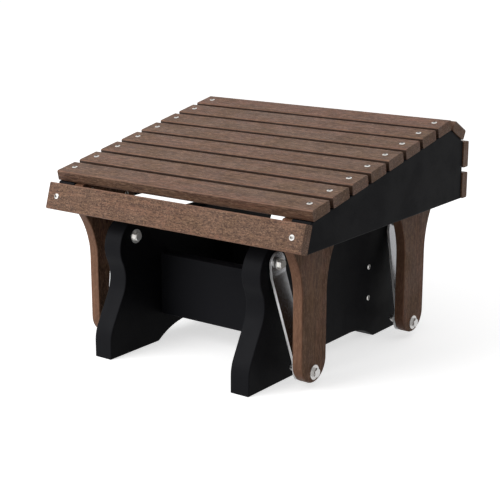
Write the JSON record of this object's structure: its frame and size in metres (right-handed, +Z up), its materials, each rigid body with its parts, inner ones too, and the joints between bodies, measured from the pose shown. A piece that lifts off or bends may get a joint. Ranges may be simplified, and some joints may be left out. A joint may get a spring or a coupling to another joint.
{
  "type": "glider ottoman",
  "caption": "Slatted glider ottoman of plastic lumber whose sloped seat box hangs from bent steel arms and swings fore and aft over a low base.",
  "frame": {"origin": "on the floor, under the middle of the bounding box", "axes": "+X to the right along the slats, +Y from the low front edge to the high back edge, +Z up"},
  "size_m": [0.546, 0.5537, 0.4054],
  "materials": {
    "brown_lumber": "brushed wood-grain plastic lumber, walnut brown",
    "black_lumber": "fine-grained black plastic lumber",
    "polished_steel": "polished stainless flat bar",
    "bolt_steel": "plain stainless fasteners",
    "bushing_nylon": "smooth moulded bearing plastic"
  },
  "bodies": {
    "seat": {"seat_slat_1": "brown_lumber", "seat_slat_2": "brown_lumber", "seat_slat_3": "brown_lumber", "seat_slat_4": "brown_lumber", "seat_slat_5": "brown_lumber", "seat_slat_6": "brown_lumber", "seat_slat_7": "brown_lumber", "seat_slat_8": "brown_lumber", "front_apron": "brown_lumber", "back_slat_slanted": "brown_lumber", "back_slat_upper": "brown_lumber", "back_slat_lower": "brown_lumber", "side_rail_left": "black_lumber", "hanger_leg_front_left": "brown_lumber", "hanger_leg_rear_left": "brown_lumber", "side_rail_right": "black_lumber", "hanger_leg_front_right": "brown_lumber", "hanger_leg_rear_right": "brown_lumber", "seat_slat_screws": "bolt_steel", "front_apron_screws": "bolt_steel", "back_slat_screws": "bolt_steel", "hanger_leg_screws": "bolt_steel", "lower_pivot_bolts": "bolt_steel", "lower_head_washers": "bolt_steel", "lower_nut_washers": "bolt_steel", "lower_lock_nuts": "bolt_steel"},
    "base": {"base_panel_left": "black_lumber", "base_panel_right": "black_lumber", "stretcher_front": "black_lumber", "stretcher_rear": "black_lumber", "stretcher_screws": "bolt_steel", "upper_pivot_bolts": "bolt_steel", "upper_head_washers": "bolt_steel", "upper_thrust_washers": "bolt_steel", "upper_nut_washers": "bolt_steel", "upper_lock_nuts": "bolt_steel"},
    "front_left_arm": {"swing_arm_front_left": "polished_steel", "arm_bushings_front_left": "bushing_nylon"},
    "rear_left_arm": {"swing_arm_rear_left": "polished_steel", "arm_bushings_rear_left": "bushing_nylon"},
    "front_right_arm": {"swing_arm_front_right": "polished_steel", "arm_bushings_front_right": "bushing_nylon"},
    "rear_right_arm": {"swing_arm_rear_right": "polished_steel", "arm_bushings_rear_right": "bushing_nylon"}
  },
  "joints": [
    {"name": "front_left_arm_swing", "type": "hinge", "parent": "base", "child": "front_left_arm", "pos_m": [-0.1743, -0.19807, 0.2115], "axis": [1, 0, 0], "range_deg": [-12, 12]},
    {"name": "rear_left_arm_swing", "type": "hinge", "parent": "base", "child": "rear_left_arm", "pos_m": [-0.1743, 0.17975, 0.2115], "axis": [1, 0, 0], "range_deg": [-12, 12]},
    {"name": "front_right_arm_swing", "type": "hinge", "parent": "base", "child": "front_right_arm", "pos_m": [0.1743, -0.19807, 0.2115], "axis": [1, 0, 0], "range_deg": [-12, 12]},
    {"name": "rear_right_arm_swing", "type": "hinge", "parent": "base", "child": "rear_right_arm", "pos_m": [0.1743, 0.17975, 0.2115], "axis": [1, 0, 0], "range_deg": [-12, 12]},
    {"name": "seat_hang", "type": "hinge", "parent": "front_left_arm", "child": "seat", "pos_m": [-0.2053, -0.17477, 0.0293], "axis": [1, 0, 0], "range_deg": [-13.8, 13.8]}
  ],
  "couplings": [
    {"joint": "rear_left_arm_swing", "follows": "front_left_arm_swing", "ratio": 1},
    {"joint": "front_right_arm_swing", "follows": "front_left_arm_swing", "ratio": 1},
    {"joint": "rear_right_arm_swing", "follows": "front_left_arm_swing", "ratio": 1},
    {"joint": "seat_hang", "follows": "front_left_arm_swing", "ratio": -1.1407}
  ]
}
